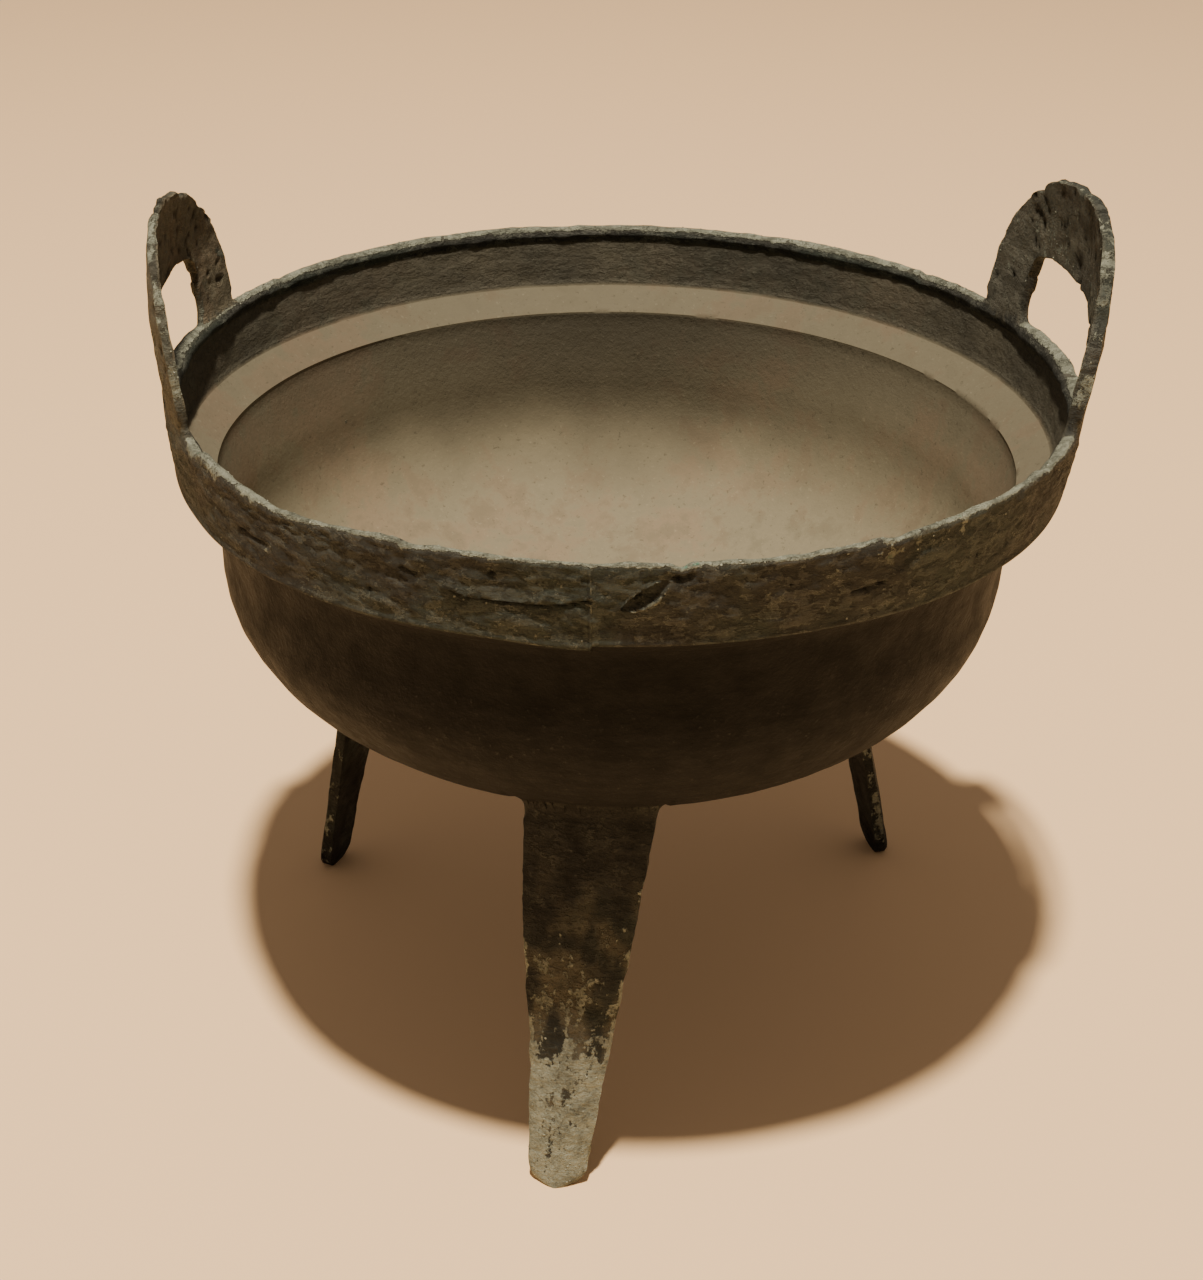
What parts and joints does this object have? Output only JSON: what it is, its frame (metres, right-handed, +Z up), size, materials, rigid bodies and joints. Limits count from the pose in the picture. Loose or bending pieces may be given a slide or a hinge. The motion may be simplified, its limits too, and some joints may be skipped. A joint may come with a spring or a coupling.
{
  "type": "bronze ding cauldron",
  "caption": "Ancient cast bronze cauldron: a round bowl with a stepped dish mouth, upright loop ears on the rim and splayed, tapering plate legs.",
  "frame": {"origin": "middle of the vessel's outer box, on the surface that its feet stand on", "axes": "+Z up, -Y towards the front leg, +X towards the right-hand ear"},
  "size_m": [0.2482, 0.248, 0.2399],
  "materials": {
    "ding_vessel": "dark brown patinated bronze, matt, with pale green corrosion"
  },
  "bodies": {
    "root": {"ding_vessel": "ding_vessel"}
  },
  "joints": []
}
